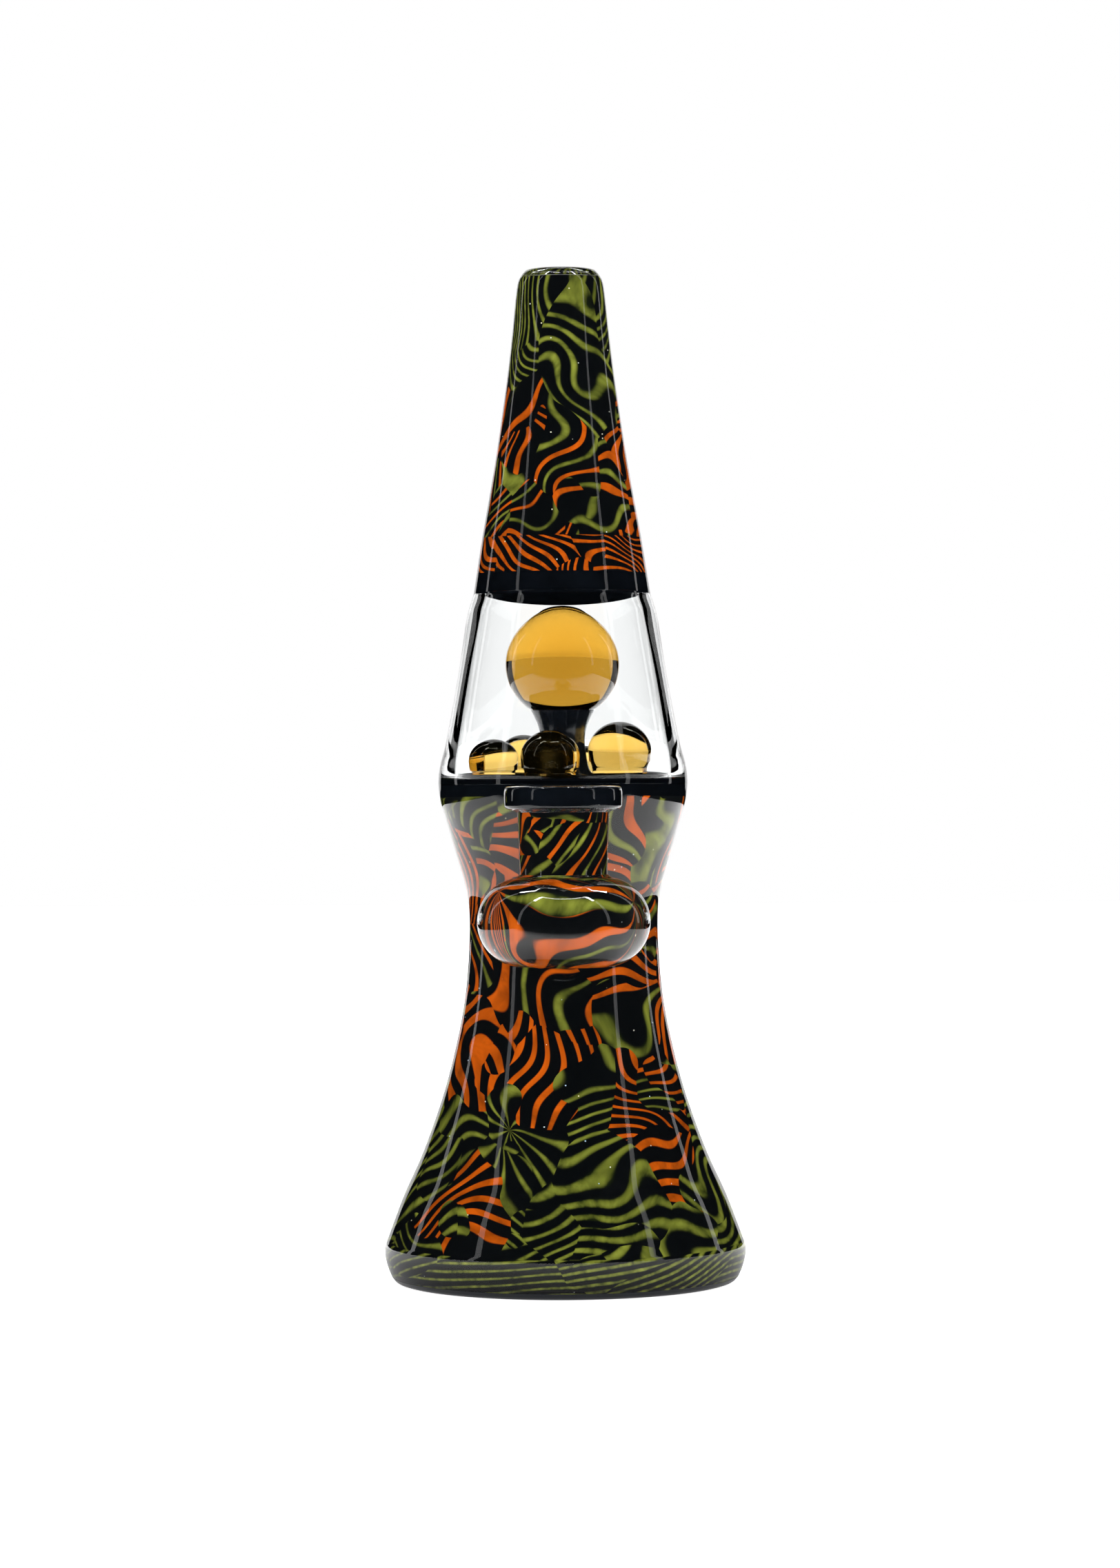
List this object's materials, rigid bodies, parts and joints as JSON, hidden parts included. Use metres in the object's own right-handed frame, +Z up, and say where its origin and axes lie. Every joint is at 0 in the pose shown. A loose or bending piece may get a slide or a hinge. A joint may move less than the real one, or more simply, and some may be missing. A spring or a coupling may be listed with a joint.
{
  "type": "glass water pipe",
  "caption": "Cased glass water pipe shaped like a lava lamp: flared patterned body, clear window with amber blobs, cone mouthpiece, side port with bubble and ground joint",
  "frame": {"origin": "centre of the flat bottom of the foot, on the body's upright axis", "axes": "+Z up along the body's axis to the mouthpiece, side port towards -Y, +X to the right when the port faces the viewer"},
  "size_m": [0.0806, 0.1008, 0.2254],
  "materials": {
    "clear_glass": "clear flame-polished borosilicate glass",
    "orange_olive_swirl": "opaque worked colour glass, orange, olive and black swirls",
    "olive_black_swirl": "opaque worked colour glass, olive and black waves",
    "black_glass": "opaque black glass, polished",
    "amber_glass": "solid transparent amber glass",
    "ground_glass": "ground frosted glass"
  },
  "bodies": {
    "root": {"cone_clear_casing": "clear_glass", "cone_colour_top": "olive_black_swirl", "cone_colour_middle": "orange_olive_swirl", "cone_colour_bottom": "orange_olive_swirl", "cone_black_band": "black_glass", "dome_floor": "black_glass", "window_tube": "clear_glass", "window_floor": "black_glass", "shoulder_black_band": "black_glass", "lava_ball": "amber_glass", "lava_stem": "black_glass", "lava_blob_left": "amber_glass", "lava_blob_front": "amber_glass", "lava_blob_back": "amber_glass", "lava_blob_middle": "amber_glass", "lava_blob_right": "amber_glass", "body_clear_casing": "clear_glass", "shoulder_colour": "orange_olive_swirl", "waist_colour": "orange_olive_swirl", "skirt_colour": "olive_black_swirl", "foot_clear_ring": "clear_glass", "foot_colour": "olive_black_swirl", "base_plate": "black_glass", "bubble_clear_casing": "clear_glass", "bubble_colour": "orange_olive_swirl", "neck_clear_casing": "clear_glass", "neck_colour": "orange_olive_swirl", "flange_clear_rim": "clear_glass", "flange_black_disc": "black_glass", "ground_joint_socket": "ground_glass", "bridge_tube": "clear_glass", "bridge_collar": "clear_glass", "downstem": "clear_glass"}
  },
  "joints": []
}
